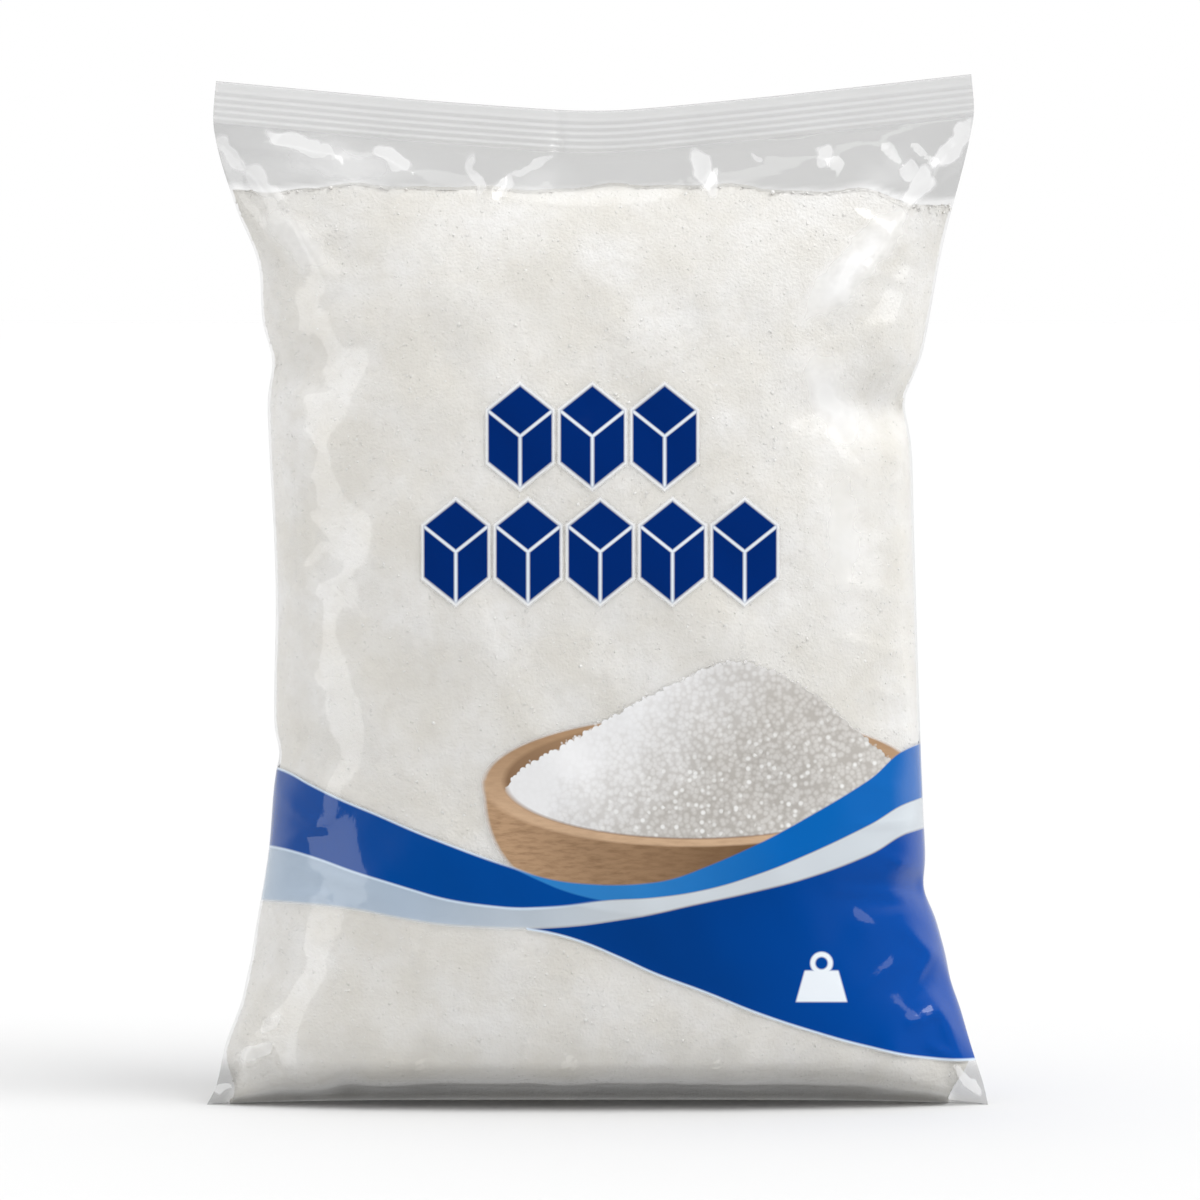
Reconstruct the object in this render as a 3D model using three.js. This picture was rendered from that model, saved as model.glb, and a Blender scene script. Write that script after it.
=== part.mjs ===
// A clear pillow bag of granulated sugar, standing on its folded-under bottom seal.
// Millimetres, +Z up, front towards -Y, origin under the middle of the bag on the floor.
// The bag is a tube of film, flat at both end seals and rounded out by the sugar between them,
// so it is drawn as rings: each ring runs across the front from left to right and back behind.
import * as THREE from "three";

// Driving sizes
const CORNER_SPAN = 168; // across the two bottom corners
const SEAL_MIDDLE_TOP = 213.6; // height of the top seal's upper edge at its lowest point
const SEAL_HEIGHT = 9.2; // height of the crimped top seal
const SEAL_MARGIN = 1.9; // plain edge above the crimps
const SEAL_HALF_THICKNESS = 0.6;
const CRIMPS = 4;
const CRIMP_DEPTH = 0.35;
const BODY_HALF_DEPTH = 31; // deepest point of the belly, to the front and to the back
const FRONT_FOOT_REACH = 27; // how far the front is drawn back under the bag
const BACK_FOOT_RADIUS = 11.5;
const EAR_FORWARD = 12; // how far the bottom corners reach forwards of the middle
const HALF_CORNERS = CORNER_SPAN / 2;

// The top edge is a shallow V: it climbs from the middle towards both ends
const DIP_SLOPE = 0.101;
const DIP_SOFTNESS = 15;
const DIP_TILT = 0.0088;
const DIP_FADE_FROM = 150; // below this height the rings are level
const SEAL_BOW = 1.6; // how far the middle of the seal leans back

// Side outlines as [height, reach from the middle]
const LEFT_SIDE = [
  [0, 84], [4, 82], [13, 80], [21.5, 76.9], [28, 75.8], [38, 73.8], [54, 71.1], [71, 69.8],
  [75, 69.2], [81, 69.9], [112, 69.5], [150, 71.2], [160, 71], [168, 72.3], [181, 73.2], [193, 78],
  [209.5, 82.6], [222, 82],
];
const RIGHT_SIDE = [
  [0, 84], [4.4, 83], [13, 80.3], [27, 76.5], [38.5, 73.4], [45, 71.6], [52, 71], [75, 69.9],
  [120, 68.4], [146, 67.7], [152, 67.3], [156, 68.3], [162, 70.2], [184, 74.3], [211.5, 80.9],
  [222, 80.5],
];

// Depth of the front and of the back as [height, share of the belly's half depth]
const FRONT_DEPTH = [
  [0, 0.95], [16, 0.96], [32, 0.98], [60, 1], [95, 0.98], [125, 0.93], [150, 0.85], [168, 0.75],
  [180, 0.65], [188, 0.54], [194, 0.42], [199, 0.28], [202.5, 0.14], [204.4, 0.02],
];
const BACK_DEPTH = [
  [0, 0.94], [16, 0.96], [32, 0.99], [60, 1], [95, 0.97], [125, 0.91], [150, 0.82], [168, 0.71],
  [180, 0.6], [188, 0.49], [194, 0.38], [199, 0.25], [202.5, 0.13], [204.4, 0.02],
];

// The front's lower edge stands clear of the floor: [height, share of the foot's reach under the bag]
const FRONT_UNDER = [
  [0, 1], [1, 0.93], [2.5, 0.86], [4, 0.77], [5, 0.66], [5.8, 0.53], [6.4, 0.38], [7, 0.25],
  [7.8, 0.15], [9, 0.09], [11, 0.055], [14, 0.03], [20, 0.008], [27, 0],
];
const CORNER_LOWERING = 0.88; // how much lower that edge runs at the bottom corners

// Sections go from pointed at the foot, through a rounded box, to a sharp-edged lens at the seal
const FOOT_SECTION = { flatness: 3.2, roundness: 1.05 };
const BODY_SECTION = { flatness: 2.7, roundness: 2 };
const NECK_SECTION = { flatness: 2.1, roundness: 1.2 };
const FOOT_SECTION_TOP = 34;
const NECK_SECTION_FROM = 160;
const NECK_SECTION_TO = 200;

// Dents where the film buckles at the sides: side, height, depth, height of the dent, reach inwards
const DENTS = [
  { side: -1, at: 159.5, depth: 3.4, tall: 5.5, wide: 0.22 },
  { side: -1, at: 74.5, depth: 1.8, tall: 6, wide: 0.16 },
  { side: -1, at: 30, depth: 1.6, tall: 5, wide: 0.14 },
  { side: 1, at: 149.5, depth: 4.2, tall: 6, wide: 0.26 },
  { side: 1, at: 46, depth: 3.4, tall: 4.5, wide: 0.2 },
  { side: 1, at: 26, depth: 1.8, tall: 4, wide: 0.14 },
];

// Folds that fan down from the top seal: place at the seal, place lower down, depth, half width
const FRONT_FOLDS = [
  { top: -74, foot: -58, reach: 40, depth: 1.6, wide: 5.5 },
  { top: -54, foot: -48, reach: 17, depth: 1.1, wide: 4.5 },
  { top: -24, foot: -29, reach: 14, depth: 0.9, wide: 4 },
  { top: -8, foot: -20, reach: 16, depth: 1, wide: 4.5 },
  { top: 16, foot: 18, reach: 15, depth: 1.2, wide: 4 },
  { top: 46, foot: 40, reach: 14, depth: 0.9, wide: 4 },
  { top: 74, foot: 55, reach: 44, depth: 1.8, wide: 6 },
];
const BACK_FOLDS = [
  { top: -72, foot: -56, reach: 38, depth: 1.6, wide: 6 },
  { top: -40, foot: -34, reach: 16, depth: 1, wide: 4.5 },
  { top: 22, foot: 27, reach: 16, depth: 1.1, wide: 4.5 },
  { top: 52, foot: 44, reach: 18, depth: 1, wide: 4.5 },
  { top: 74, foot: 58, reach: 40, depth: 1.6, wide: 6 },
];

// The lengthwise seam lies folded flat against the back
const SEAM = { left: -8, right: 4, height: 0.6, edge: 0.8 };
// The bottom seal is folded back flat under the bag, and a shallow groove marks its free edge
const FOOT_SEAL = { edge: 8.5, groove: 0.5, halfWidth: 0.7 };

// Slow unevenness of the filled film: height, wavelength across and up, and phase
const SWELLS = [
  { height: 0.45, across: 46, up: 61, phase: 0.4 },
  { height: 0.35, across: 29, up: 38, phase: 2.1 },
  { height: 0.25, across: 63, up: 24, phase: 4.4 },
];

// Resolution
const COLUMNS_PER_SIDE = 50;
const FOOT_HEIGHTS = [0, 0.8, 2.4, 4.2, 5.4, 6.2, 7, 8, 10, 13.5, 19];
const BODY_FROM = 19;
const BODY_STEP = 6.2;
const BODY_TOP = 186;
const NECK_HEIGHTS = [189.5, 193, 196.3, 199.2, 201.6, 203.3];

const SEAL_FOOT = SEAL_MIDDLE_TOP - SEAL_HEIGHT;

function mix(a, b, share) {
  return a + (b - a) * share;
}

function smooth(from, to, value) {
  return THREE.MathUtils.smoothstep(value, from, to);
}

// Smooth curve through a list of [place, value], read at one place
function along(points, place) {
  const last = points.length - 1;
  if (place <= points[0][0]) return points[0][1];
  if (place >= points[last][0]) return points[last][1];
  const i = points.findIndex((p) => p[0] > place) - 1;
  const slope = (k) => {
    const a = points[Math.max(k - 1, 0)];
    const b = points[Math.min(k + 1, last)];
    return (b[1] - a[1]) / (b[0] - a[0]);
  };
  const span = points[i + 1][0] - points[i][0];
  const t = (place - points[i][0]) / span;
  const bend = t * t * (3 - 2 * t);
  const start = span * slope(i) * t * (1 - t) * (1 - t);
  const end = span * slope(i + 1) * t * t * (t - 1);
  return mix(points[i][1], points[i + 1][1], bend) + start + end;
}

// How much higher the film sits at this share of the width than in the middle
function lift(share, height) {
  const x = share * HALF_CORNERS;
  const dip = DIP_SLOPE * (Math.hypot(x, DIP_SOFTNESS) - DIP_SOFTNESS) + DIP_TILT * x;
  return dip * smooth(DIP_FADE_FROM, SEAL_FOOT, height);
}

// Shape of the section at a height: how boxy it is and how round its side edges are
function sectionAt(height) {
  const body = smooth(0, FOOT_SECTION_TOP, height);
  const neck = smooth(NECK_SECTION_FROM, NECK_SECTION_TO, height);
  const blend = (name) =>
    mix(mix(FOOT_SECTION[name], BODY_SECTION[name], body), NECK_SECTION[name], neck);
  return { flatness: blend("flatness"), roundness: blend("roundness") };
}

// How far the wall is drawn under the bag: a flat underside in front, a quarter round behind
function underAt(share, height, back) {
  if (!back) {
    const edge = 1 - CORNER_LOWERING * share ** 4;
    return FRONT_FOOT_REACH * along(FRONT_UNDER, height / edge);
  }
  const missing = Math.max(BACK_FOOT_RADIUS - height, 0);
  return BACK_FOOT_RADIUS - Math.sqrt(BACK_FOOT_RADIUS ** 2 - missing ** 2);
}

// Half depth of the front or back, before the section rounds it off towards the sides
function halfDepth(share, height, back) {
  const full = BODY_HALF_DEPTH * along(back ? BACK_DEPTH : FRONT_DEPTH, height);
  return full - underAt(share, height, back);
}

function dentAt(share, height) {
  let depth = 0;
  for (const dent of DENTS) {
    const inwards = (1 - share * dent.side) / dent.wide;
    const up = (height - dent.at) / dent.tall;
    depth += dent.depth * Math.exp(-inwards * inwards - up * up);
  }
  return depth;
}

// Ridge height of the folds at a place across the bag, below the seal
function foldAt(folds, x, height) {
  let out = 0;
  for (const fold of folds) {
    const down = (SEAL_FOOT - height) / fold.reach;
    if (down <= 0 || down >= 1) continue;
    const away = Math.abs(x - mix(fold.top, fold.foot, down)) / (fold.wide * mix(0.5, 1, down));
    if (away < 1) out += fold.depth * (1 - away) * Math.sin(Math.PI * Math.sqrt(down));
  }
  return out;
}

function swellAt(x, height, back) {
  let out = 0;
  for (const swell of SWELLS) {
    const turn = swell.phase + (back ? 1.7 : 0);
    out += swell.height * Math.sin((2 * Math.PI * x) / swell.across + turn)
      * Math.cos((2 * Math.PI * height) / swell.up + turn);
  }
  return out * smooth(12, 40, height) * (1 - smooth(165, 190, height));
}

function seamAt(x, height) {
  const rise = smooth(SEAM.left - SEAM.edge, SEAM.left, x);
  const fall = 1 - smooth(SEAM.right, SEAM.right + SEAM.edge, x);
  return SEAM.height * rise * fall * smooth(3, 10, height) * (1 - smooth(196, 203, height));
}

// One point of the filled part of the bag. share runs from -1 at the left edge to 1 at the right.
function bodyPoint(share, height, back) {
  const left = along(LEFT_SIDE, height + lift(-1, height));
  const right = along(RIGHT_SIDE, height + lift(1, height));
  // Columns near the middle stay upright, so that the seam on the back is straight
  const spread = smooth(0.14, 0.5, Math.abs(share));
  const half = mix(HALF_CORNERS * 0.88, (left + right) / 2, spread);
  const dent = dentAt(share, height);
  const x = ((right - left) / 2) * spread + half * share - dent * 0.25 * Math.sign(share);
  const { flatness, roundness } = sectionAt(height);
  const round = (1 - Math.abs(share) ** flatness) ** (1 / roundness);
  let depth = halfDepth(share, height, back) * round;
  const free = smooth(0, 0.3, round);
  depth += (foldAt(back ? BACK_FOLDS : FRONT_FOLDS, x, height) + swellAt(x, height, back)) * free;
  depth -= dent * free;
  if (back) depth += seamAt(x, height);
  const bow = SEAL_BOW * (1 - share * share) * smooth(DIP_FADE_FROM, SEAL_FOOT, height);
  const ear = EAR_FORWARD * share ** 4 * (1 - smooth(0, 40, height));
  return [x, (back ? depth : -depth) + bow - ear, height + lift(share, height)];
}

// One point of the top seal, a thin crimped strip
function sealPoint(share, up, back) {
  const height = SEAL_FOOT + up * SEAL_HEIGHT;
  const z = height + lift(share, height);
  const left = along(LEFT_SIDE, SEAL_FOOT + lift(-1, SEAL_FOOT) + up * SEAL_HEIGHT);
  const right = along(RIGHT_SIDE, SEAL_FOOT + lift(1, SEAL_FOOT) + up * SEAL_HEIGHT);
  const spread = smooth(0.14, 0.5, Math.abs(share));
  const x = ((right - left) / 2) * spread + mix(HALF_CORNERS * 0.88, (left + right) / 2, spread) * share;
  const crimped = 1 - SEAL_MARGIN / SEAL_HEIGHT;
  const crimp = up < crimped ? CRIMP_DEPTH * Math.sin((up / crimped) * CRIMPS * 2 * Math.PI) : 0;
  const bow = SEAL_BOW * (1 - share * share);
  return [x, (back ? SEAL_HALF_THICKNESS : -SEAL_HALF_THICKNESS) + crimp + bow, z];
}

// Shares of the width for the columns, closer together at the edges and doubled at the seam's edges
function columnShares() {
  const shares = [];
  for (let i = 0; i <= COLUMNS_PER_SIDE; i++) {
    shares.push(Math.sin(((i / COLUMNS_PER_SIDE) * 2 - 1) * (Math.PI / 2)));
  }
  const reference = HALF_CORNERS * 0.88;
  const seamEdges = [SEAM.left - SEAM.edge, SEAM.left, SEAM.right, SEAM.right + SEAM.edge];
  for (const edge of seamEdges) shares.push(edge / reference);
  shares.sort((a, b) => a - b);
  return shares.filter((s, i) => i === 0 || s - shares[i - 1] > 0.004);
}

// Rows of the bag from the foot up, each a function of share and side
function bagRows() {
  const heights = [...FOOT_HEIGHTS];
  const steps = Math.round((BODY_TOP - BODY_FROM) / BODY_STEP);
  for (let i = 1; i <= steps; i++) heights.push(mix(BODY_FROM, BODY_TOP, i / steps));
  heights.push(...NECK_HEIGHTS);
  const rows = heights.map((height) => (share, back) => bodyPoint(share, height, back));
  const crimped = 1 - SEAL_MARGIN / SEAL_HEIGHT;
  const sealUps = [0];
  for (let i = 0; i < CRIMPS * 2; i++) sealUps.push((crimped * (i + 0.5)) / (CRIMPS * 2));
  sealUps.push(crimped, 1);
  rows.push(...sealUps.map((up) => (share, back) => sealPoint(share, up, back)));
  return rows;
}

// Lines across the standing face, from its front edge to its back edge
function footLines() {
  const { edge, groove, halfWidth } = FOOT_SEAL;
  return [
    { y: edge - halfWidth, z: 0 },
    { y: edge, z: groove },
    { y: edge + halfWidth, z: 0 },
  ];
}

function buildBag() {
  const shares = columnShares();
  const rows = bagRows();
  const last = shares.length - 1;
  const vertices = [];
  const add = (point) => vertices.push(point) - 1;
  const grid = rows.map((row) => ({
    front: shares.map((share) => add(row(share, false))),
    back: [],
  }));
  rows.forEach((row, r) => {
    grid[r].back = shares.map((share, c) => {
      const shared = (c === 0 || c === last) && r < rows.length - CRIMPS * 2 - 3;
      return shared ? grid[r].front[c] : add(row(share, true));
    });
  });

  const triangles = [];
  const quad = (a, b, c, d) => triangles.push([a, b, c], [a, c, d]);
  for (let r = 0; r + 1 < grid.length; r++) {
    const low = grid[r];
    const high = grid[r + 1];
    for (let c = 0; c < last; c++) {
      quad(low.front[c], low.front[c + 1], high.front[c + 1], high.front[c]);
      quad(low.back[c + 1], low.back[c], high.back[c], high.back[c + 1]);
    }
    quad(low.front[last], low.back[last], high.back[last], high.front[last]);
    quad(low.back[0], low.front[0], high.front[0], high.back[0]);
  }

  const top = grid[grid.length - 1];
  for (let c = 0; c < last; c++) quad(top.front[c], top.front[c + 1], top.back[c + 1], top.back[c]);

  // The standing face, in strips from front to back with the groove at the seal's free edge
  const foot = grid[0];
  const lines = footLines();
  const strips = shares.map((_, c) => {
    if (c === 0 || c === last) return null;
    const from = vertices[foot.front[c]];
    const to = vertices[foot.back[c]];
    const inner = lines.map((line, k) => {
      const least = (k + 1) / (lines.length + 3);
      const most = 1 - (lines.length - k) / (lines.length + 3);
      const share = THREE.MathUtils.clamp((line.y - from[1]) / (to[1] - from[1]), least, most);
      const narrow = Math.min(1, (to[1] - from[1]) / 10);
      return add([from[0], mix(from[1], to[1], share), line.z * narrow]);
    });
    return [foot.front[c], ...inner, foot.back[c]];
  });
  for (let c = 1; c + 1 < last; c++) {
    for (let k = 0; k <= lines.length; k++) {
      quad(strips[c][k], strips[c][k + 1], strips[c + 1][k + 1], strips[c + 1][k]);
    }
  }
  for (let k = 0; k <= lines.length; k++) {
    triangles.push([foot.front[0], strips[1][k + 1], strips[1][k]]);
    triangles.push([foot.front[last], strips[last - 1][k], strips[last - 1][k + 1]]);
  }

  const used = triangles.filter(([a, b, c]) => a !== b && b !== c && c !== a);
  const geometry = new THREE.BufferGeometry();
  geometry.setAttribute("position", new THREE.Float32BufferAttribute(vertices.flat(), 3));
  geometry.setIndex(used.flat());
  geometry.computeBoundingBox();
  const { min, max } = geometry.boundingBox;
  geometry.translate(-(min.x + max.x) / 2, -(min.y + max.y) / 2, -min.z);
  geometry.computeVertexNormals();
  return geometry;
}

const packMaterial = new THREE.MeshStandardMaterial({ color: 0xe6e3dc, roughness: 0.35, metalness: 0 });

const bag = new THREE.Mesh(buildBag(), packMaterial);
bag.name = "sugar_bag";

const part = new THREE.Group();
part.add(bag);

export default part;
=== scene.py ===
# %% [markdown]
# # A clear bag of granulated sugar
#
# The real bag is one tube of clear film. A machine welds it flat at the bottom, pours in the
# sugar and welds it flat again at the top, so the bag is a pillow: flat along both welds,
# round in between, with a pointed corner at each end of the lower weld. The film shows the
# sugar, and carries blue waves, a dark motif and a picture of a bowl in printed ink.
#
# The file follows the same order: the tube's shape, the sugar inside it, the film around it,
# the welds and the seam, and then the materials, the studio and the camera.

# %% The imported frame
import math

import bmesh
import bpy
import numpy as np
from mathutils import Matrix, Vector
from mathutils.bvhtree import BVHTree


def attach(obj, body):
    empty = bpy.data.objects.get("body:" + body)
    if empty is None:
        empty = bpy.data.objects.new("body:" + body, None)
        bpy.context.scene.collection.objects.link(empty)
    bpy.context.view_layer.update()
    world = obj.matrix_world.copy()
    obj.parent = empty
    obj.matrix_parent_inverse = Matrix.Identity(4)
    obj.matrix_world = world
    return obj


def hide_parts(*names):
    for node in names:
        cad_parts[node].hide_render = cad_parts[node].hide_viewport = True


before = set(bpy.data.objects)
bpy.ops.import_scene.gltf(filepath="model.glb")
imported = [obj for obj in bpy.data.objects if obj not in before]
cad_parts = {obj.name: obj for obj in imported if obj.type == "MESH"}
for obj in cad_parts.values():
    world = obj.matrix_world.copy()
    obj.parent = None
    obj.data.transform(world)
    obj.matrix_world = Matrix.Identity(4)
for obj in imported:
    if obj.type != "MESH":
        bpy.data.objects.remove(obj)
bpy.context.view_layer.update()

MM = 0.001

# %% [markdown]
# ## The tube's shape
#
# Every piece of the bag lies on, in or under the same surface, so that surface is written once
# as a function. A point is named by its share of the width, from -1 at the left edge to 1 at
# the right, by its height and by its side, front or back. All sizes are in millimetres, and
# match the CAD solid that MuJoCo uses.

# %% Driving sizes
HALF_CORNERS = 84.0
MIDDLE_HALF = 0.88 * HALF_CORNERS  # how far the film's middle part would reach
SEAL_HEIGHT = 9.2
SEAL_TOP = 213.6
SEAL_FOOT = SEAL_TOP - SEAL_HEIGHT
SEAL_MARGIN = 1.9
SEAL_BOW = 1.6
CRIMPS = 5
BODY_HALF_DEPTH = 31.0
FRONT_FOOT_REACH = 27.0
BACK_FOOT_RADIUS = 11.5
CORNER_LOWERING = 0.88
EAR_FORWARD = 12.0
DIP_SLOPE, DIP_SOFTNESS, DIP_TILT, DIP_FADE_FROM = 0.101, 15.0, 0.0088, 150.0

LEFT_SIDE = [
    (0, 84), (4, 82), (13, 80), (21.5, 76.9), (28, 75.8), (38, 73.8), (54, 71.1), (71, 69.8),
    (75, 69.2), (81, 69.9), (112, 69.5), (150, 71.2), (160, 71), (168, 72.3), (181, 73.2),
    (193, 78), (209.5, 82.6), (222, 82),
]
RIGHT_SIDE = [
    (0, 84), (4.4, 83), (13, 80.3), (27, 76.5), (38.5, 73.4), (45, 71.6), (52, 71), (75, 69.9),
    (120, 68.4), (146, 67.7), (152, 67.3), (156, 68.3), (162, 70.2), (184, 74.3), (211.5, 80.9),
    (222, 80.5),
]
FRONT_DEPTH = [
    (0, 0.95), (16, 0.96), (32, 0.98), (60, 1), (95, 0.98), (125, 0.93), (150, 0.85),
    (168, 0.75), (180, 0.65), (188, 0.54), (194, 0.42), (199, 0.28), (202.5, 0.14), (204.4, 0.02),
]
BACK_DEPTH = [
    (0, 0.94), (16, 0.96), (32, 0.99), (60, 1), (95, 0.97), (125, 0.91), (150, 0.82),
    (168, 0.71), (180, 0.6), (188, 0.49), (194, 0.38), (199, 0.25), (202.5, 0.13), (204.4, 0.02),
]

# The front is drawn back under the bag, and its lower edge stands clear of the floor
FRONT_UNDER = [
    (0, 1), (1, 0.93), (2.5, 0.86), (4, 0.76), (5, 0.65), (6, 0.51), (7, 0.38), (8, 0.275),
    (9, 0.2), (10, 0.15), (12, 0.085), (15, 0.04), (20, 0.012), (27, 0),
]


def smooth(low, high, value):
    """0 below low, 1 above high and a soft step between."""
    t = np.clip((value - low) / (high - low), 0, 1)
    return t * t * (3 - 2 * t)


def mix(a, b, share):
    return a + (b - a) * share


def along(points, place):
    """A smooth curve through (place, value) points, read at many places."""
    xs, ys = np.array(points, float).T
    after = np.minimum(np.arange(len(xs)) + 1, len(xs) - 1)
    before = np.maximum(np.arange(len(xs)) - 1, 0)
    slopes = (ys[after] - ys[before]) / (xs[after] - xs[before])
    place = np.clip(place, xs[0], xs[-1])
    i = np.clip(np.searchsorted(xs, place, side="right") - 1, 0, len(xs) - 2)
    span = xs[i + 1] - xs[i]
    t = (place - xs[i]) / span
    bend = t * t * (3 - 2 * t)
    ends = slopes[i] * t * (1 - t) ** 2 + slopes[i + 1] * t * t * (t - 1)
    return mix(ys[i], ys[i + 1], bend) + span * ends


def lift(share, height):
    """How much higher the film sits here than in the middle: the top edge is a shallow V."""
    x = share * HALF_CORNERS
    dip = DIP_SLOPE * (np.hypot(x, DIP_SOFTNESS) - DIP_SOFTNESS) + DIP_TILT * x
    return dip * smooth(DIP_FADE_FROM, SEAL_FOOT, height)


print("the seal stands", round(float(lift(1.0, SEAL_FOOT)), 1), "mm higher at its right end")

# %% [markdown]
# ## Dents and folds
#
# A filled bag is never a clean pillow. The film buckles where the sides are squeezed, fans
# down in folds from the ends of the top seal, and crumples near the bottom corners, where flat
# film turns round. Each such place is a short crease with a sharp crest, because thin stiff
# film folds along lines. The large ones are placed where the photograph shows them, and the
# small ones are drawn at random from a fixed seed along both sides.

# %% Dents, swells and creases
rng = np.random.default_rng(7)

# side, height, depth, height of the dent, reach inwards as a share of the half width
DENTS = [
    (-1, 159.5, 3.4, 5.5, 0.22), (-1, 74.5, 1.8, 6, 0.16), (-1, 30, 1.6, 5, 0.14),
    (1, 149.5, 4.2, 6, 0.26), (1, 46, 3.4, 4.5, 0.2), (1, 26, 1.8, 4, 0.14),
]
# height, wavelength across and up, phase
SWELLS = [
    (0.45, 46, 61, 0.4), (0.35, 29, 38, 2.1), (0.25, 63, 24, 4.4), (0.16, 17, 31, 1.2),
    (0.1, 11, 19, 3.3),
]
# Creases as (x1, z1, x2, z2, height, half width), the ends seen from the front
FRONT_CREASES = [
    (-83, 209, -76, 201, 1.8, 4), (-77, 202, -67, 193, 2.0, 5), (-68, 194, -56, 174, 1.8, 6),
    (-78, 206, -66, 205, 0.8, 2.2), (-69, 206, -56, 203, 1.0, 2.6), (-58, 206, -55, 200, 0.7, 2),
    (-49, 206, -39, 199, 1.1, 2.8), (-44, 200, -42, 190, 0.6, 3), (-26, 205, -23, 194, 0.9, 2.2),
    (-19, 204, -24, 193, 0.8, 2.6), (-9, 206, -12, 196, 0.5, 2), (18, 206, 21, 195, 1.3, 2.6),
    (26, 206, 22, 196, 1.0, 2.4), (35, 206, 40, 203, 0.6, 2), (46, 205, 51, 200, 1.1, 3.2),
    (83, 211, 75, 205, 2.0, 5), (76, 206, 70, 194, 2.0, 5), (71, 200, 50, 168, 2.0, 6.5),
    (58, 207, 66, 200, 0.9, 3), (66, 206, 72, 201, 0.8, 2.4), (70, 190, 62, 160, 1.2, 5),
    (-83, 2, -74, 14, 1.0, 3), (-80, 1, -66, 6, 0.7, 2.4), (-79, 12, -73, 26, 0.8, 2.6),
    (-77, 16, -68, 9, 0.7, 2), (-75, 22, -66, 18, 0.6, 2),
    (83, 2, 74, 18, 1.1, 3), (80, 1, 66, 6, 0.7, 2.4), (79, 13, 69, 26, 0.9, 2.6),
    (76, 29, 64, 40, 0.9, 2.6), (73, 42, 59, 47, 0.8, 2.6), (75, 21, 66, 18, 0.8, 2),
    (72, 33, 66, 24, 0.7, 1.8), (77, 10, 70, 14, 0.7, 1.8),
    (-16, 6, -4, 3.8, 0.5, 0.9), (-5, 3.9, 16, 3.8, 0.5, 0.9), (15, 3.8, 27, 5.8, 0.5, 0.9),
]
BACK_CREASES = [
    (-82, 206, -60, 180, 1.8, 6), (-70, 206, -56, 197, 1.0, 4), (-40, 204, -34, 190, 1.0, 3.5),
    (22, 204, 27, 188, 1.1, 3.5), (52, 204, 44, 188, 1.0, 4), (82, 208, 58, 176, 1.8, 6),
    (-83, 2, -66, 20, 1.2, 4), (83, 2, 66, 22, 1.2, 4), (-78, 14, -66, 34, 0.9, 3),
    (78, 16, 66, 36, 0.9, 3),
]
SIDE_CREASES = 26  # on each edge of each face


def side_creases():
    """Short creases that run inwards from both edges, at heights between the seals."""
    found = []
    for side in (-1, 1):
        for height in np.linspace(34, 186, SIDE_CREASES):
            height = height + rng.uniform(-3, 3)
            reach = rng.uniform(6, 20)
            x = side * rng.uniform(66, 72)
            slant = rng.uniform(-9, 9)
            deep = rng.uniform(0.2, 0.75)
            found.append((x, height, x - side * reach, height + slant, deep, rng.uniform(1.5, 3)))
    return found


FRONT_CREASES = FRONT_CREASES + side_creases()
BACK_CREASES = BACK_CREASES + side_creases()
print(len(FRONT_CREASES), "creases on the front,", len(BACK_CREASES), "on the back")


def dent_at(share, height):
    total = np.zeros(np.broadcast(share, height).shape)
    for side, at, depth, tall, wide in DENTS:
        total += depth * np.exp(-(((1 - share * side) / wide) ** 2) - ((height - at) / tall) ** 2)
    return total


def swell_at(x, height, back):
    out = 0
    for size, across, up, phase in SWELLS:
        turn = phase + 1.7 * back
        out = out + size * np.sin(2 * np.pi * x / across + turn) * np.cos(
            2 * np.pi * height / up + turn)
    return out * smooth(12, 40, height) * (1 - smooth(165, 190, height))


def pucker_at(x, height):
    """Soft puckers along the front's lower edge, where the film is drawn back under."""
    lumps = 0.45 * np.sin(x / 2.5 + 0.8) + 0.35 * np.sin(x / 4.3) + 0.3 * np.sin(x / 1.7 + 2)
    return lumps * np.exp(-((height - 10) / 5.5) ** 2)


def crease_at(creases, x, z):
    """Sharp-crested ridges along short lines, fading out at both ends."""
    out = np.zeros(np.broadcast(x, z).shape)
    for x1, z1, x2, z2, high, wide in creases:
        length = math.hypot(x2 - x1, z2 - z1)
        ux, uz = (x2 - x1) / length, (z2 - z1) / length
        down = ((x - x1) * ux + (z - z1) * uz) / length
        away = np.abs((x - x1) * uz - (z - z1) * ux) / wide
        fade = np.sin(np.pi * np.clip(mix(0.08, 0.98, down), 0, 1)) ** 0.7
        out += high * fade * np.clip(1 - away, 0, 1) ** 1.3
    return out


def crumple_at(x, z):
    """Small facets, as in film that has been crushed: waves that are folded where they turn."""
    out = 0
    for k in range(7):
        angle = 0.6 + 2.4 * k
        wave = 7.5 / (1 + 0.35 * k)
        phase = 1.9 * k * k
        across = x * math.cos(angle) + z * math.sin(angle)
        out = out + wave * 0.075 * (np.abs(((across / wave + phase) % 2) - 1) - 0.5)
    return out


# %% [markdown]
# ## One function for the whole bag
#
# The cross-section changes on the way up: pointed at the foot, a rounded box in the middle
# and a lens with sharp edges at the neck. A superellipse covers all three, with one exponent
# for how boxy it is and one for how round its edges are. The inset moves the same surface
# inwards, which is how the sugar comes to lie just inside the film.

# %% The bag's surface
SEAM_LEFT, SEAM_RIGHT = -8.0, 4.0
FOOT_SECTION, BODY_SECTION, NECK_SECTION = (3.2, 1.05), (2.7, 2.0), (2.1, 1.2)


def section_at(height):
    """The section's boxiness and the roundness of its edges at a height."""
    body = smooth(0, 34, height)
    neck = smooth(160, 200, height)
    return [
        mix(mix(foot, middle, body), top, neck)
        for foot, middle, top in zip(FOOT_SECTION, BODY_SECTION, NECK_SECTION)
    ]


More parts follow.
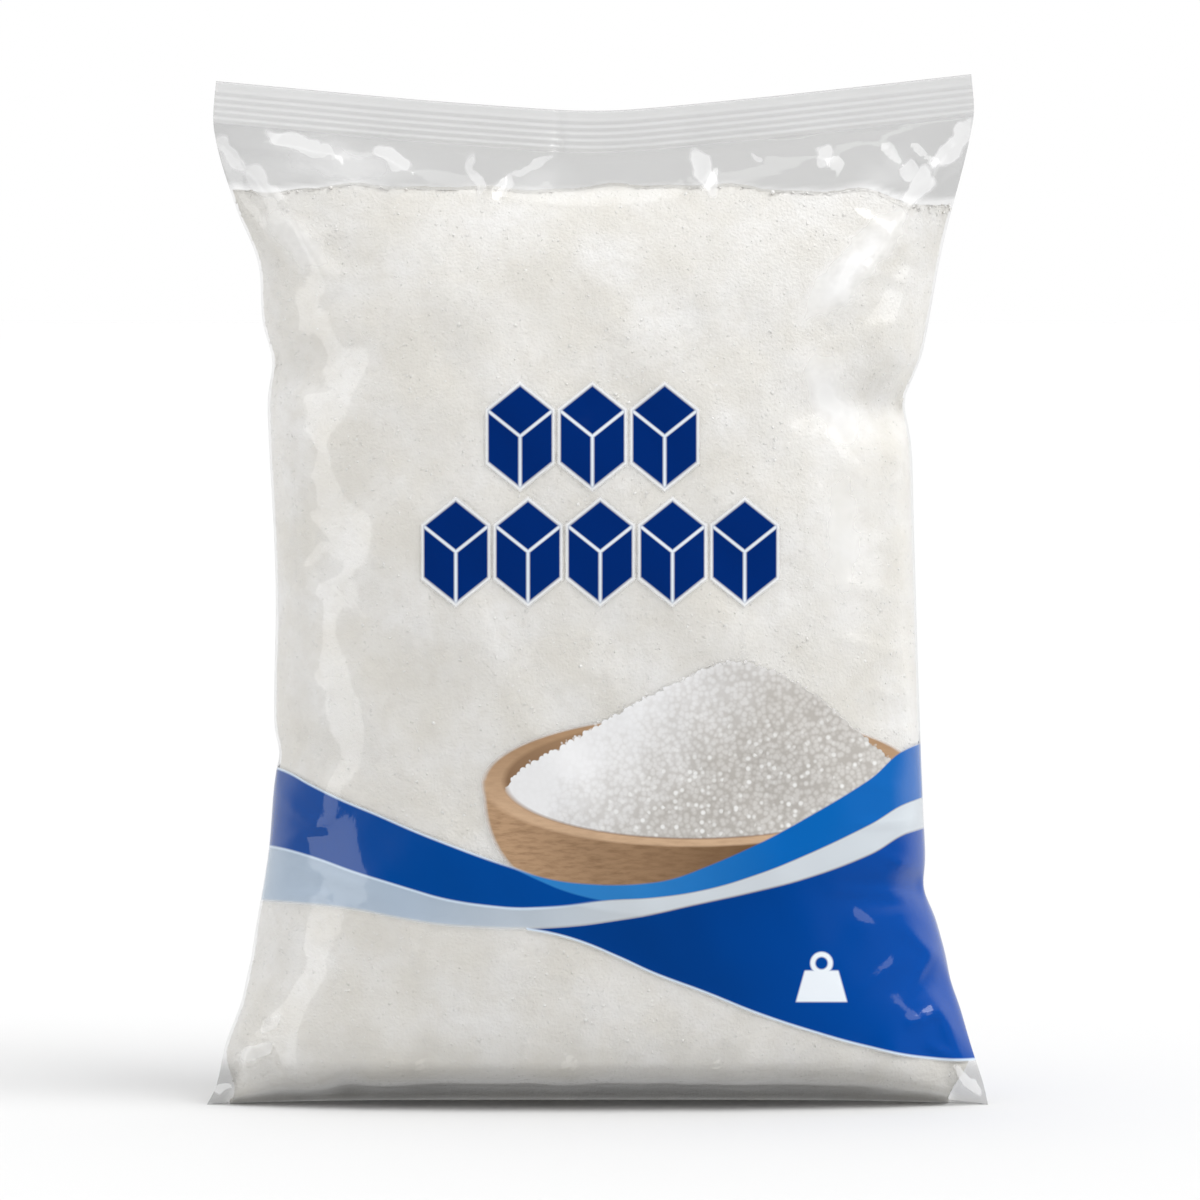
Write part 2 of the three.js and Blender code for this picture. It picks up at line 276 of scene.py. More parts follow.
def edge_height(share):
    """How high the front's lower edge runs, as a share: low at the corners, uneven between."""
    x = share * HALF_CORNERS
    level = 0.8 * (1 - CORNER_LOWERING * share ** 4)
    tuck = 0.16 * np.exp(-(((x + 55) / 3.2) ** 2)) - 0.1 * np.exp(-(((x + 62) / 4) ** 2))
    wave = 0.03 * np.sin(x / 6.5) + 0.02 * np.sin(x / 2.9 + 1)
    return level * (1 + tuck + wave)


def half_depth(share, height, back):
    """Half depth of the front or back, before the section rounds it off towards the sides."""
    missing = np.clip(BACK_FOOT_RADIUS - height, 0, BACK_FOOT_RADIUS)
    round_under = BACK_FOOT_RADIUS - np.sqrt(BACK_FOOT_RADIUS ** 2 - missing ** 2)
    flat_under = FRONT_FOOT_REACH * along(FRONT_UNDER, height / edge_height(share))
    full = np.where(back, along(BACK_DEPTH, height), along(FRONT_DEPTH, height))
    return BODY_HALF_DEPTH * full - np.where(back, round_under, flat_under)


def edges_at(share, height):
    left = along(LEFT_SIDE, height + lift(-1, height))
    right = along(RIGHT_SIDE, height + lift(1, height))
    return left, right


LEFT_CORNER, RIGHT_CORNER = 79.5, 76.0  # how far into the bottom corners the sugar reaches


def corner_at(share, height):
    """1 in the empty tips of the two bottom corners."""
    reach = np.where(share < 0, LEFT_CORNER, RIGHT_CORNER)
    return smooth(-1, 2, np.abs(share) * HALF_CORNERS - reach) * (1 - smooth(6, 11, height))


SUGAR_LEVEL = 196.6


def sugar_level(x):
    """The upper surface's height across the bag: level, a little lumpy and lower at the right."""
    lumps = 0.5 * np.sin(x / 11) + 0.35 * np.sin(x / 4.7 + 1) + 0.2 * np.sin(x / 2.3)
    return SUGAR_LEVEL + lumps - 3.4 * smooth(62, 78, x)


def slack_at(share, height):
    """1 where the film hangs free with no sugar behind it, as in the neck and the corners."""
    over_sugar = height + lift(share, height) - sugar_level(share * HALF_CORNERS)
    return np.maximum(smooth(-0.2, 1.2, over_sugar), corner_at(share, height))


def bag_point(share, height, back, inset=0.0, relief=1.0):
    """The place of one point of the filled part, in millimetres; every argument may be an array."""
    left, right = edges_at(share, height)
    spread = smooth(0.14, 0.5, np.abs(share))
    half = mix(MIDDLE_HALF, (left + right) / 2, spread)
    dent = dent_at(share, height)
    x = (right - left) / 2 * spread + half * share - dent * 0.25 * np.sign(share)
    x = x - inset * share ** 3
    boxy, rounding = section_at(height)
    round_off = (1 - np.abs(share) ** boxy) ** (1 / rounding)
    depth = half_depth(share, height, back) * round_off
    free = smooth(0, 0.3, round_off)
    z = height + lift(share, height)
    folds = np.where(back, crease_at(BACK_CREASES, x, z), crease_at(FRONT_CREASES, x, z))
    folds = folds + crumple_at(x + 40 * back, z) * corner_at(share, height)
    lap = smooth(SEAM_LEFT - 1, SEAM_LEFT, x) * (1 - smooth(SEAM_RIGHT, SEAM_RIGHT + 1, x))
    folds = folds + np.where(back, 0.2 * lap * smooth(190, 196, z), pucker_at(x, height))
    depth = depth + (folds * relief + swell_at(x, height, back)) * free - dent * free
    depth = depth - inset * (depth > 0) * np.minimum(1, round_off * 3)
    bow = SEAL_BOW * (1 - share ** 2) * smooth(DIP_FADE_FROM, SEAL_FOOT, height)
    ear = EAR_FORWARD * share ** 4 * (1 - smooth(0, 40, height))
    return np.stack([x, np.where(back, depth, -depth) + bow - ear, z], -1)


def seal_point(share, up, back, thickness=0.45):
    """A point of the crimped top seal, where up runs from 0 at its foot to 1 at its upper edge."""
    left = along(LEFT_SIDE, SEAL_FOOT + lift(-1, SEAL_FOOT) + up * SEAL_HEIGHT)
    right = along(RIGHT_SIDE, SEAL_FOOT + lift(1, SEAL_FOOT) + up * SEAL_HEIGHT)
    spread = smooth(0.14, 0.5, np.abs(share))
    half = mix(MIDDLE_HALF, (left + right) / 2, spread)
    x = (right - left) / 2 * spread + half * share
    z = SEAL_FOOT + up * SEAL_HEIGHT + lift(share, SEAL_FOOT)
    crimped = 1 - SEAL_MARGIN / SEAL_HEIGHT
    crimp = np.where(up < crimped, 0.2 * np.sin(up / crimped * CRIMPS * 2 * np.pi), 0)
    wave = 0.35 * np.sin(x / 9) + 0.25 * np.sin(x / 4.1 + 1)
    kink = 0.7 * np.exp(-((x + 8.3) / 1.1) ** 2) + 0.5 * np.exp(-((x - 20) / 4) ** 2)
    y = crimp + (wave + kink) * mix(1.0, 0.4, up) + SEAL_BOW * (1 - share ** 2)
    y = y + np.where(back, thickness / 2, -thickness / 2) * (1 - smooth(0.97, 1, up))
    return np.stack([x, y, z], -1)


# The CAD solid is centred on its own box, seam included, so the same shift is applied here
SEAM_HEIGHT = 0.6
sides = np.linspace(-1, 1, 81)[:, None]
levels = np.linspace(0, SEAL_FOOT, 120)[None, :]
front_reach = bag_point(sides, levels, False, relief=0.0)[..., 1].min()
back_reach = bag_point(sides, levels, True, relief=0.0)[..., 1].max() + SEAM_HEIGHT
SHIFT_Y = -(front_reach + back_reach) / 2
SHIFT_X = (LEFT_SIDE[0][1] - RIGHT_SIDE[0][1]) / 2
print("depth", round(back_reach - front_reach, 1), "mm, centred by", round(SHIFT_Y, 2), "mm")

# %% [markdown]
# ## The photograph's view
#
# The camera comes before the print, because the waves are drawn on the film by where the
# photograph shows them. It stands a little above the middle of the bag with a long lens. The
# size is chosen so that one pixel of the 1200-pixel photograph is 0.216 mm at the bag.

# %% Camera
PIXEL = 0.216
FRAME_PIXELS = 1200
AXIS_PIXEL, FLOOR_PIXEL = 597.5, 1100  # the photograph's column and row of the bag's origin
ELEVATION = math.radians(2.5)
DISTANCE = 1700.0
VIEW_X = (FRAME_PIXELS / 2 - AXIS_PIXEL) * PIXEL
VIEW_Z = (FLOOR_PIXEL - FRAME_PIXELS / 2) * PIXEL

lens = bpy.data.cameras.new("camera")
lens.sensor_fit = "HORIZONTAL"
lens.sensor_width = 36
lens.lens = 36 * DISTANCE / (FRAME_PIXELS * PIXEL)
lens.clip_start, lens.clip_end = 0.05, 60
camera = bpy.data.objects.new("camera", lens)
bpy.context.collection.objects.link(camera)
aim = np.array([VIEW_X, 0, VIEW_Z / math.cos(ELEVATION)])
back_off = DISTANCE * np.array([0, -math.cos(ELEVATION), math.sin(ELEVATION)])
camera.location = (aim + back_off) * MM
camera.rotation_euler = (math.pi / 2 - ELEVATION, 0, 0)
bpy.context.scene.camera = camera


def as_seen(points):
    """Millimetres across and up, as the photograph shows these places, from the bag's origin."""
    depth = -np.abs(points[..., 1]) * math.cos(ELEVATION)
    grow = DISTANCE / (DISTANCE + depth)
    up = points[..., 2] * math.cos(ELEVATION) - np.abs(points[..., 1]) * math.sin(ELEVATION)
    across = VIEW_X + (points[..., 0] - VIEW_X) * grow
    return across, VIEW_Z + (up - VIEW_Z) * grow


print("lens", round(lens.lens), "mm at", DISTANCE / 1000, "m")

# %% [markdown]
# ## The film
#
# A grid is rolled up into the tube. Its rows run from the fold of the bottom seal, out under
# the bag, up the wall and through the crimps to the top edge, and its columns run once round
# from the seam at the back. The last row and the first each close on themselves, so the film
# ends as one closed surface, as the real one is closed by its two welds.

# %% Rows and columns
FOLD_Y = -1.5  # where the front and back films meet under the bag


def wall_heights(step, top):
    """Heights up the wall at an even distance along the film, round the front's lower edge."""
    fine = np.linspace(0, top, 4000)
    under = FRONT_FOOT_REACH * along(FRONT_UNDER, fine)
    length = np.concatenate([[0], np.cumsum(np.hypot(np.diff(fine), np.diff(under)))])
    return np.interp(np.linspace(0, length[-1], round(length[-1] / step) + 1), length, fine)


def turn_to_share(turn):
    """A turn from 0 at the back seam to 1 back at the seam, as a share of the width."""
    angle = 2 * np.pi * turn - 0.2 * np.sin(4 * np.pi * turn)  # finer in the middle of each face
    return -np.sin(angle), np.cos(angle) > 0


def foot_row(share, back, part, height=0.35):
    """A row under the bag: part 0 is the fold between front and back, 1 is the wall's foot."""
    edge = bag_point(share, np.zeros_like(share), back)
    ear = -EAR_FORWARD * share ** 4
    fold = np.stack([edge[..., 0], FOLD_Y * (1 - share ** 2) + ear, 0 * share], -1)
    point = mix(fold, edge, part)
    point[..., 2] = height * (1 - share ** 8)
    return point


def laid_grid(name, points):
    """A grid of faces through rows of points, bottom to top, with each vertex's column and row."""
    rows, columns = points.shape[:2]
    bpy.ops.object.select_all(action="DESELECT")
    bpy.ops.mesh.primitive_grid_add(
        x_subdivisions=columns - 1, y_subdivisions=rows - 1, size=2, location=(0, 0, 0))
    piece = bpy.context.object
    piece.name = piece.data.name = name
    me = piece.data
    flat = np.empty(len(me.vertices) * 3)
    me.vertices.foreach_get("co", flat)
    flat = flat.reshape(-1, 3)
    column = np.rint((flat[:, 0] + 1) / 2 * (columns - 1)).astype(int)
    row = np.rint((flat[:, 1] + 1) / 2 * (rows - 1)).astype(int)
    placed = points[row, column] + [SHIFT_X, SHIFT_Y, 0]
    me.vertices.foreach_set("co", (placed * MM).ravel())
    me.update()
    return piece, placed, column, row


FILM_COLUMNS, UNDER_ROWS, SEAL_ROWS = 360, 11, 27
turns = np.linspace(0, 1, FILM_COLUMNS + 1)
share, back = turn_to_share(turns)
film_rows = [foot_row(share, back, part) for part in np.linspace(0, 1, UNDER_ROWS + 1)[:-1]]
for height in wall_heights(0.95, SEAL_FOOT):
    film_rows.append(bag_point(share, np.full_like(share, height), back))
film_rows += [seal_point(share, up, back) for up in np.linspace(0, 1, SEAL_ROWS)[1:]]
film, film_points, film_column, film_row = laid_grid("bag_film", np.stack(film_rows))
film.data.uv_layers[0].name = "OFBake"
print("film:", len(film.data.polygons), "faces")

# %% Film coordinates and slack
def add_attribute(me, name, values):
    layer = me.attributes.new(name, "FLOAT", "POINT")
    layer.data.foreach_set("value", np.asarray(values, np.float32))


def add_map(me, name, across, up):
    """A texture map in units of 100 mm, from one pair of values a vertex."""
    layer = me.uv_layers.new(name=name)
    corner = np.empty(len(me.loops), int)
    me.loops.foreach_get("vertex_index", corner)
    layer.data.foreach_set("uv", (np.stack([across, up], 1)[corner] / 100).ravel())


PRINT_ROUND = 140  # from the middle of the front to the seam at the back, along the print


def print_place(points, turn, row):
    """Where each point falls on the print: as seen in front, and carried on round the back."""
    across, up = as_seen(points)
    side = row * 2 + (turn > 0.5)
    edge = np.zeros(side.max() + 1)
    np.maximum.at(edge, side, np.abs(across))
    edge = edge[side]
    round_back = edge + (edge - np.abs(across)) * (PRINT_ROUND - edge) / edge
    behind = np.abs(turn - 0.5) > 0.25
    return np.where(behind, np.where(turn < 0.5, -1, 1) * round_back, across), up


turn_of = film_column / FILM_COLUMNS
across, up = print_place(film_points, turn_of, film_row)
add_map(film.data, "print", across, up)
film_share = turn_to_share(turn_of)[0]
film_slack = slack_at(film_share, film_points[:, 2] - lift(film_share, film_points[:, 2]))
in_seal = film_row > len(film_rows) - SEAL_ROWS
add_attribute(film.data, "slack", np.where(in_seal, 2.0, film_slack))
print("print runs from", round(across.min()), "to", round(across.max()), "mm round the bag")

# %% Closing the film
def close_tube(piece):
    """Welds the rolled grid along its seam and its two ends, and turns its faces outwards."""
    bpy.ops.object.select_all(action="DESELECT")
    bpy.context.view_layer.objects.active = piece
    piece.select_set(True)
    bpy.ops.object.mode_set(mode="EDIT")
    bpy.ops.mesh.select_all(action="SELECT")
    bpy.ops.mesh.remove_doubles(threshold=0.000002)
    bpy.ops.mesh.normals_make_consistent(inside=False)
    bpy.ops.object.mode_set(mode="OBJECT")
    bpy.ops.object.shade_smooth()
    bm = bmesh.new()
    bm.from_mesh(piece.data)
    open_edges = sum(e.is_boundary for e in bm.edges)
    litres = bm.calc_volume(signed=True) * 1000
    if litres < 0:
        bmesh.ops.reverse_faces(bm, faces=bm.faces)
        bm.to_mesh(piece.data)
    bm.free()
    print(piece.name, "has", open_edges, "open edges and holds", round(abs(litres), 2), "litres")


close_tube(film)

# %% [markdown]
# ## The sugar
#
# Granulated sugar is crystals of 0.5 to 0.8 mm. Packed in a bag they read as one grainy mass,
# so the mass is a second rolled grid just inside the film, roughened point by point, and
# loose crystals are laid on it where light catches them.

# %% The sugar's mass
FILM_GAP = 0.4
SUGAR_COLUMNS = 372


def sugar_point(share, height, back):
    """The mass keeps inside the film and ends short of the corners' tips."""
    reach = np.where(share < 0, LEFT_CORNER, RIGHT_CORNER) / HALF_CORNERS
    x_edge = mix(reach, 0.997, smooth(1, 12, height))
    x = share * HALF_CORNERS
    top = sugar_level(x) - lift(share, height)
    return bag_point(share * x_edge, np.minimum(height, top), back, inset=FILM_GAP, relief=0.55)


def middle_line(row):
    """For each column the place halfway to the column across the bag, in front or behind."""
    across_bag = (SUGAR_COLUMNS // 2 - np.arange(SUGAR_COLUMNS + 1)) % SUGAR_COLUMNS
    return 0.5 * (row + row[across_bag])


share, back = turn_to_share(np.linspace(0, 1, SUGAR_COLUMNS + 1))
wall = [sugar_point(share, np.full_like(share, h), back) for h in wall_heights(0.9, 198.5)]
foot = wall[0] * [1, 1, 0] + [0, 0, 0.9]
under = [mix(middle_line(foot), foot, part) for part in np.linspace(0, 1, 10)[:-1]]
rim = wall[-1]
ridge = middle_line(rim) + [0, 0, 0.8]
cap = [mix(rim, ridge, part) for part in np.linspace(0, 1, 14)[1:]]
sugar = laid_grid("sugar", np.stack(under + wall + cap))[0]
sugar.data.uv_layers[0].name = "OFBake"
close_tube(sugar)
print("sugar:", len(sugar.data.polygons), "faces")

# %% Grain relief
def roughen(piece, size, still):
    """Moves every point a little at random, except the welded ends, so that facets show."""
    me = piece.data
    normals = np.empty(len(me.vertices) * 3)
    me.vertex_normals.foreach_get("vector", normals)
    flat = np.empty(len(me.vertices) * 3)
    me.vertices.foreach_get("co", flat)
    flat, normals = flat.reshape(-1, 3), normals.reshape(-1, 3)
    step = rng.uniform(-1, 1, len(flat)) * size
    slide = rng.uniform(-1, 1, flat.shape) * size * 0.8
    flat = flat + (normals * step[:, None] + slide) * MM * (~still(flat))[:, None]
    me.vertices.foreach_set("co", flat.ravel())
    me.update()


roughen(sugar, 0.07, lambda at: at[:, 2] < 0.0015)
print("the mass is", round(max(v.co.z for v in sugar.data.vertices) / MM, 1), "mm high")

# %% [markdown]
# ## Loose crystals
#
# A sugar crystal is a blunt block with flat faces, a little longer than it is wide. Each one is
# a cube with its corners pushed about, turned at random and sunk halfway into the mass. They
# are joined by kind, fine and coarse, as mesh at true size.

# %% Crystals
CUBE = np.array([[x, y, z] for x in (-1, 1) for y in (-1, 1) for z in (-1, 1)]) / 2
CUBE_FACES = np.array([
    (0, 1, 3, 2), (4, 6, 7, 5), (0, 4, 5, 1), (2, 3, 7, 6), (0, 2, 6, 4), (1, 5, 7, 3)])


def random_turns(count):
    """Random rotations as matrices, from random unit quaternions."""
    q = rng.normal(size=(count, 4))
    q /= np.linalg.norm(q, axis=1)[:, None]
    w, x, y, z = q.T
    rows = [
        1 - 2 * (y * y + z * z), 2 * (x * y - z * w), 2 * (x * z + y * w),
        2 * (x * y + z * w), 1 - 2 * (x * x + z * z), 2 * (y * z - x * w),
        2 * (x * z - y * w), 2 * (y * z + x * w), 1 - 2 * (x * x + y * y),
    ]
    return np.stack(rows, -1).reshape(count, 3, 3)


def surface_places(count):
    """Random places on the mass, evenly by area, with the outward direction there."""
    me = sugar.data
    area = np.empty(len(me.polygons))
    me.polygons.foreach_get("area", area)
    centre, normal = np.empty(len(area) * 3), np.empty(len(area) * 3)
    me.polygons.foreach_get("center", centre)
    me.polygons.foreach_get("normal", normal)
    centre, normal = centre.reshape(-1, 3), normal.reshape(-1, 3)
    area = area * (centre[:, 2] > 0.004)
    pick = rng.choice(len(area), count, p=area / area.sum())
    return centre[pick] / MM, normal[pick]


FILM_CLEARANCE = 0.06
film_tree = BVHTree.FromObject(film, bpy.context.evaluated_depsgraph_get())


def overlap_with_film(corner, out):
    """How far the outermost corner of each crystal must come in to stay inside the film."""
    reach = np.einsum("nij,nj->ni", corner, out).argmax(1)
    outermost = corner[np.arange(len(corner)), reach] * MM
    over = []
    for point in outermost:
        spot, normal, _, _ = film_tree.find_nearest(Vector(point))
        over.append((Vector(point) - spot).dot(normal) / MM + FILM_CLEARANCE)
    return np.clip(over, 0, None)[:, None]


def crystals(name, count, small, large):
    """One joined mesh of loose crystals, each with its own tone."""
    place, out = surface_places(count)
    size = rng.uniform(small, large, (count, 1))
    stretch = rng.uniform(0.75, 1.15, (count, 1, 3))
    corner = CUBE[None] * stretch * (1 + rng.uniform(-0.18, 0.18, (count, 8, 3))) * size[:, None]
    corner = np.einsum("nij,nkj->nki", random_turns(count), corner)
    slide = rng.uniform(-0.3, 0.3, (count, 3))
    slide -= out * np.sum(slide * out, 1)[:, None]
    sunk = place + slide - out * size * rng.uniform(0.44, 0.56, (count, 1))
    corner = corner + sunk[:, None]
    corner = corner - (out * overlap_with_film(corner, out))[:, None]
    points = corner.reshape(-1, 3)
    faces = (CUBE_FACES[None] + 8 * np.arange(count)[:, None, None]).reshape(-1, 4)
    me = bpy.data.meshes.new(name)
    me.vertices.add(len(points))
    me.vertices.foreach_set("co", (points * MM).ravel())
    me.loops.add(faces.size)
    me.loops.foreach_set("vertex_index", faces.ravel())
    me.polygons.add(len(faces))
    me.polygons.foreach_set("loop_start", np.arange(0, faces.size, 4))
    me.update(calc_edges=True)
    add_attribute(me, "tone", np.repeat(rng.uniform(0, 1, count), 8))
    piece = bpy.data.objects.new(name, me)
    bpy.context.collection.objects.link(piece)
    print(name, "has", count, "crystals of", small, "to", large, "mm")
    return piece


fine_crystals = crystals("fine_crystals", 16000, 0.4, 0.6)
coarse_crystals = crystals("coarse_crystals", 3000, 0.6, 0.85)

# %% [markdown]
# ## The seam and the bottom weld
#
# The tube is closed lengthwise by a lap that is welded and pressed flat against the back. The
# bottom weld is a crimped strip too, folded back under the bag, with its ends in the two
# corners. Both are thin strips that follow the film, so each is a small grid laid on it.

# %% Strips of film
def strip(name, points):
    """A grid piece from rows of points in millimetres, thickened into a thin closed sheet."""
    piece = laid_grid(name, points)[0]
    sheet = piece.modifiers.new("sheet", "SOLIDIFY")
    sheet.thickness = 0.00012
    sheet.offset = 0
    bpy.ops.object.modifier_apply(modifier=sheet.name)
    bpy.ops.object.shade_smooth()
    print(name, "has", len(piece.data.polygons), "faces")
    return piece


SEAM_COLUMNS = 15
SEAM_RIBS = 1.9  # from one rib of the seam's weld to the next
heights = wall_heights(1.6, SEAL_FOOT)
heights = heights[(heights > 2) & (heights < SUGAR_LEVEL - 1)]
across_seam = np.linspace(SEAM_LEFT, SEAM_RIGHT, SEAM_COLUMNS)
seam_share = across_seam / MIDDLE_HALF
seam_rows = []
for height in heights:
    row = bag_point(seam_share, np.full_like(seam_share, height), np.ones(SEAM_COLUMNS, bool))
    raised = 0.28 + 0.3 * smooth(SEAM_LEFT, SEAM_RIGHT, across_seam) ** 4
    row[:, 1] += raised + 0.06 * np.sin(height * 2 * math.pi / SEAM_RIBS)
    seam_rows.append(row)
seam = strip("back_seam", np.array(seam_rows))

WELD_DEPTH, WELD_COLUMNS, WELD_ROWS = 9.0, 160, 12
weld_share = np.linspace(-0.985, 0.985, WELD_COLUMNS)
weld_rows = []
for part in np.linspace(0, 1, WELD_ROWS):
    row = foot_row(weld_share, np.zeros(WELD_COLUMNS, bool), 0.0)
    width = WELD_DEPTH * (1 - np.abs(weld_share) ** 6)
    row[:, 1] += part * width
    row[:, 2] = 0.16 + 0.05 * np.sin(part * CRIMPS * 2 * math.pi)
    weld_rows.append(row)
weld = strip("bottom_weld", np.array(weld_rows))

# %% [markdown]
# ## Materials
#
# The film is polypropylene: clear, glossy, about 0.05 mm thick. Light goes straight through a
# sheet that thin, so the shader is a transparent one with a glossy layer by Fresnel. A slack
# stretch adds a grey haze, because loose film scatters light that clinging film passes on.
# The ink is an opaque glossy layer that shows where the print masks say so.

# %% Node helpers
def linear(code):
    """A hex colour as the linear values that the shaders take."""
    values = [int(code[i:i + 2], 16) / 255 for i in (1, 3, 5)]
    return tuple(v / 12.92 if v <= 0.04045 else ((v + 0.055) / 1.055) ** 2.4 for v in values) + (1,)


class Nodes:
    """The node tree of one material or world, and the one function that adds to it."""

    def __init__(self, owner):
        self.owner = owner
        owner.use_nodes = True
        self.tree = owner.node_tree
        self.tree.nodes.clear()

    def add(self, kind, *values, **settings):
        """Adds a node. Its inputs come in order, or by name or number in a dictionary, and each
        is a number, a hex colour, an output, or a node, which stands for its first output."""
        node = self.tree.nodes.new("ShaderNode" + kind)
        for key, value in settings.items():
            setattr(node, key, value)
        inputs = values[0] if values and isinstance(values[0], dict) else dict(enumerate(values))
        for key, value in inputs.items():
            if isinstance(value, str):
                value = linear(value)
            if isinstance(value, bpy.types.Node):
                value = next(output for output in value.outputs if output.enabled)
            if isinstance(value, bpy.types.NodeSocket):
                self.tree.links.new(value, node.inputs[key])
            else:
                node.inputs[key].default_value = value
        return node


def new_material(name):
    return Nodes(bpy.data.materials.new(name))


def turning(n, value, low, high, colour, to_colour, most=1.0):
    """One colour where value is low, which turns to another where it is high."""
    share = n.add("MapRange", value, low, high, 0, most)
    return n.add("Mix", {0: share, 6: colour, 7: to_colour}, data_type="RGBA")


print("mid grey, #808080, is", round(linear("#808080")[0], 3), "in linear light")

# %% Sugar
def sugar_material(name, roughness, tone_attribute):
    """White crystals: matt from afar, with small bright facets, slow patches of tone, and painted
    shade low down and towards the top.
    """
    n = new_material(name)
    place = n.add("TexCoord").outputs["Object"]
    patches = n.add("TexNoise", {"Vector": place, "Scale": 70, "Detail": 3})
    specks = n.add("TexNoise", {"Vector": place, "Scale": 380, "Detail": 3})
    grain = n.add("TexNoise", {"Vector": place, "Scale": 1500, "Detail": 1})
    cream = turning(n, patches, 0.35, 0.68, "#eeebe4", "#f8f7f5")
    flecked = turning(n, specks, 0.45, 0.7, cream, "#e5e1da", 0.3)
    if tone_attribute:
        tone = n.add("Attribute", attribute_name="tone").outputs["Fac"]
        flecked = turning(n, tone, 0.0, 0.85, cream, "#fffefc")
    # Painted shade: the sugar is darkened towards #b3b0a8, most at the foot, a little over the
    # lower half and more again towards the top, standing in for less light falling there
    apart = n.add("SeparateXYZ", place).outputs
    up = apart["Z"]
    painted_shade = n.add(
        "Math", n.add("MapRange", up, 0.007, 0.02, 0.2, 0),
        n.add("MapRange", up, 0.09, 0.16, 0.13, 0.03), operation="ADD")
    painted_shade = n.add("Math", painted_shade, n.add("MapRange", up, 0.15, 0.2, 0, 0.17), operation="ADD")
    sugar_with_painted_shade = n.add("Mix", {0: painted_shade, 6: flecked, 7: "#b3b0a8"}, data_type="RGBA")
    # Painted shadow: the sugar under the front edge is darkest, #5f5c57, standing in for the shade
    # between the overhang and the floor
    fold = n.add(
        "Math", n.add("MapRange", up, 0.0, 0.003, 0.0, 0.72),
        n.add("MapRange", up, 0.0045, 0.0108, 1, 0), operation="MULTIPLY")
    fold = n.add(
        "Math", fold, n.add("MapRange", apart["Y"], 0.006, 0.014, 1, 0), operation="MULTIPLY")
    aside = n.add("Math", apart["X"], operation="ABSOLUTE")
    fold = n.add("Math", fold, n.add("MapRange", aside, 0.045, 0.076, 1, 0.2), operation="MULTIPLY")
    sugar_with_painted_shade = n.add("Mix", {0: fold, 6: sugar_with_painted_shade, 7: "#5f5c57"}, data_type="RGBA")
    bump = n.add("Bump", {"Strength": 0.5, "Distance": 0.0003, "Height": grain})
    shader = n.add("BsdfPrincipled", {
        "Base Color": sugar_with_painted_shade, "Roughness": roughness, "IOR": 1.54, "Normal": bump})
    n.add("OutputMaterial", shader)
    return n.owner


sugar.data.materials.append(sugar_material("sugar_mass", 0.4, False))
fine_crystals.data.materials.append(sugar_material("sugar_fine_crystals", 0.2, True))
coarse_crystals.data.materials.append(sugar_material("sugar_coarse_crystals", 0.08, True))
print("sugar has", len(sugar.data.materials[0].node_tree.nodes), "nodes")

# %% [markdown]
# ## The print
#
# The print is fields of ink with smooth edges. Each edge is one curve of height against the
# distance round the bag, given by a few points and read by a Float Curve node. From 70 mm to
# 140 mm either way the curves run on round the sides and meet at the back seam.

# %% Edges of the waves, as (distance round the bag, height) in millimetres
PRINT_HALF = 150.0
PRINT_TOP = 100.0
BLUE_TOP = [(-140, 62), (-95, 78), (-68.8, 71.5), (-61.8, 67.9), (-55.9, 65), (-47.8, 61.6),
            (-39.8, 58.1), (-31.7, 54.9), (-23.6, 51.9), (-17.7, 49.9), (-12.4, 48.1), (-7, 47),
            (-1.6, 46.5), (3.8, 46.3), (11.8, 46.8), (16.1, 47.6), (22.6, 49.9), (34.9, 55.3),
            (44.2, 60.3), (58.6, 69), (69.2, 76.8), (92, 81), (140, 62)]
DARK_TIP = [(-140, 95), (-40, 62), (-17.7, 49.7), (-12.4, 47.2), (-7, 45), (-1.6, 43.5),
            (3, 42.6), (20, 38)]
PALE_TOP = [(-140, 49), (-95, 57.5), (-70.4, 54.6), (-62.9, 52.7), (-52.1, 48.9), (-45.7, 46.9),
            (-39.2, 44.9), (-34.4, 43.5), (-29, 42.4), (-23.6, 41.7), (-17.7, 41.2), (-12.4, 41.3),
            (-7, 41.7), (1.6, 42.9), (11.8, 43.5), (22.6, 45.1), (34.9, 48.7), (44.2, 52.4),
            (58.6, 59.2), (69.3, 64.9), (92, 69), (140, 49)]
PALE_BOTTOM = [(-140, 41), (-95, 44), (-71.5, 42.9), (-65, 42.4), (-54.3, 41.3), (-42.5, 39.1),
               (-34.4, 37.8), (-26.3, 37.2), (-15.4, 36.9), (-4.3, 37.5), (3.8, 38.6), (11.8, 39.9),
               (19.9, 41.7), (34.9, 45), (44.2, 47.4), (58.6, 52.7), (69.3, 58.3), (92, 62),
               (140, 41)]
FIELD_BOTTOM = [(-20, 38.3), (-15.4, 36.9), (-9.7, 35.8), (-4.3, 34.3), (4.8, 30.6), (12, 27.3),
                (23.5, 23), (35, 18.4), (46.5, 14.6), (58, 11.4), (70, 9), (82, 8.6), (105, 15),
                (125, 28), (140, 40)]
HEAP_TOP = [(-21, 64), (-19.9, 67.1), (-16.7, 71.4), (-10.9, 75), (-4.5, 78.5), (1.3, 82.1),
            (12.7, 88.2), (19.2, 91.4), (24.2, 93.6), (29.2, 94.7), (33.5, 94.3), (37.1, 93.2),
            (41.4, 91.1), (47.1, 87.6), (52.1, 83.4), (57.1, 79.2), (62.2, 74.6), (65, 71.5)]

BOWL_MIDDLE, BOWL_TILT = 22.4, 0.012
BOWL_EDGE = 6  # how sharp the edges of its ellipses are
INK_DARK, INK_NAVY, INK_RIBBON = "#004594", "#00286e", "#0861b1"
INK_FIELD, INK_LIGHT, INK_STRIPE = "#003a84", "#b4c6da", "#c9d0d6"
INK_OVERLAP, INK_OUTLINE = "#2e7cc0", "#cfdff0"
print("the heap rises to", max(up for _, up in HEAP_TOP), "mm on the print")

